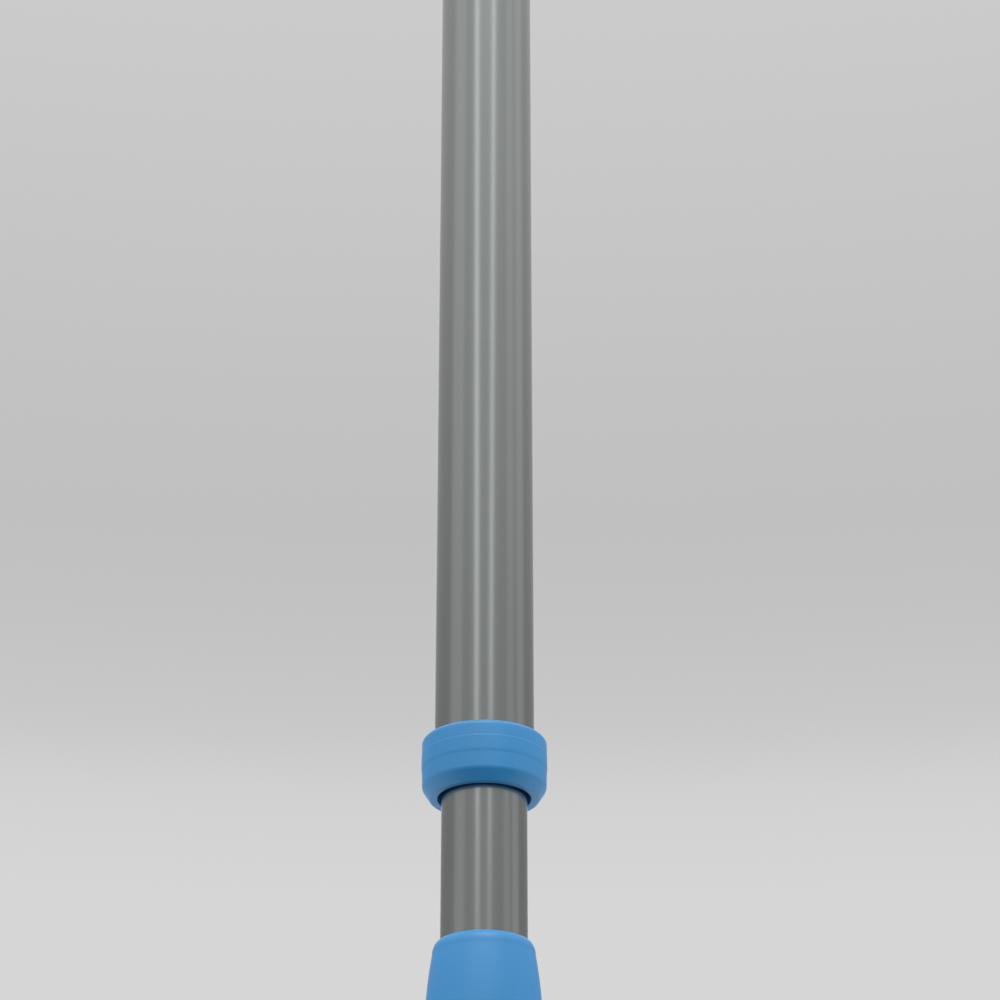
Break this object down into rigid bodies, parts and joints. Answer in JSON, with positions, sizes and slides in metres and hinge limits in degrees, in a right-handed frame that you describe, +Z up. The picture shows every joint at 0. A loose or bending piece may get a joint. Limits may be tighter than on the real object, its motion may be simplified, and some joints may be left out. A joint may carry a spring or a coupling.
{
  "type": "telescopic boat hook",
  "caption": "Two-stage telescopic boat hook: grey tubes with a collar, ribbed grip, hanging-eye cap, inner twist lock and a J-shaped hook head with a blunt nose.",
  "frame": {"origin": "centre of the hanging eye in the butt cap, which lies on the pole's axis", "axes": "+Z up along the pole's axis, from the hook to the butt cap; +Y along the hanging eye; +X from the shank towards the hook's tip"},
  "size_m": [0.08, 0.036, 1.0327],
  "materials": {
    "blue_plastic": "matte",
    "anodised_tube": "satin",
    "dark_nylon": "matte",
    "lock_black": "satin",
    "ring_rubber": "matte",
    "white_acetal": "satin",
    "steel": "satin",
    "foam": "matte"
  },
  "bodies": {
    "handle": {"butt_cap": "blue_plastic", "cap_pin": "steel", "hand_grip": "blue_plastic", "outer_float": "foam", "outer_tube": "anodised_tube", "collar": "blue_plastic", "guide_bush": "dark_nylon"},
    "lock_rings": {"shoe_ring_upper": "ring_rubber", "shoe_ring_lower": "ring_rubber"},
    "shaft": {"inner_tube": "anodised_tube", "lock_plug": "dark_nylon", "plug_pin": "steel", "tail_guide": "white_acetal", "spindle_washer": "steel", "spindle_screw": "steel", "inner_float": "foam", "head_rivets": "steel", "hook_head": "blue_plastic"},
    "cone": {"expander_cone": "dark_nylon"},
    "shoe_left": {"brake_shoe_left": "lock_black"},
    "shoe_right": {"brake_shoe_right": "lock_black"}
  },
  "joints": [
    {"name": "extend", "type": "slide", "parent": "handle", "child": "lock_rings", "axis": [0, 0, -1], "range_m": [-0.041, 0.48]},
    {"name": "twist", "type": "hinge", "parent": "lock_rings", "child": "shaft", "pos_m": [0, 0, -0.17], "axis": [0, 0, -1], "range_deg": [0, 180]},
    {"name": "cone_travel", "type": "slide", "parent": "lock_rings", "child": "cone", "axis": [0, 0, 1], "range_m": [0, 0.0015]},
    {"name": "shoe_left_release", "type": "slide", "parent": "lock_rings", "child": "shoe_left", "axis": [1, 0, 0], "range_m": [0, 0.00025]},
    {"name": "shoe_right_release", "type": "slide", "parent": "lock_rings", "child": "shoe_right", "axis": [-1, 0, 0], "range_m": [0, 0.00025]}
  ],
  "couplings": [
    {"joint": "cone_travel", "follows": "twist", "m_per_rad": 0.00047746},
    {"joint": "shoe_left_release", "follows": "twist", "m_per_rad": 0.0000795},
    {"joint": "shoe_right_release", "follows": "twist", "m_per_rad": 0.0000795}
  ]
}
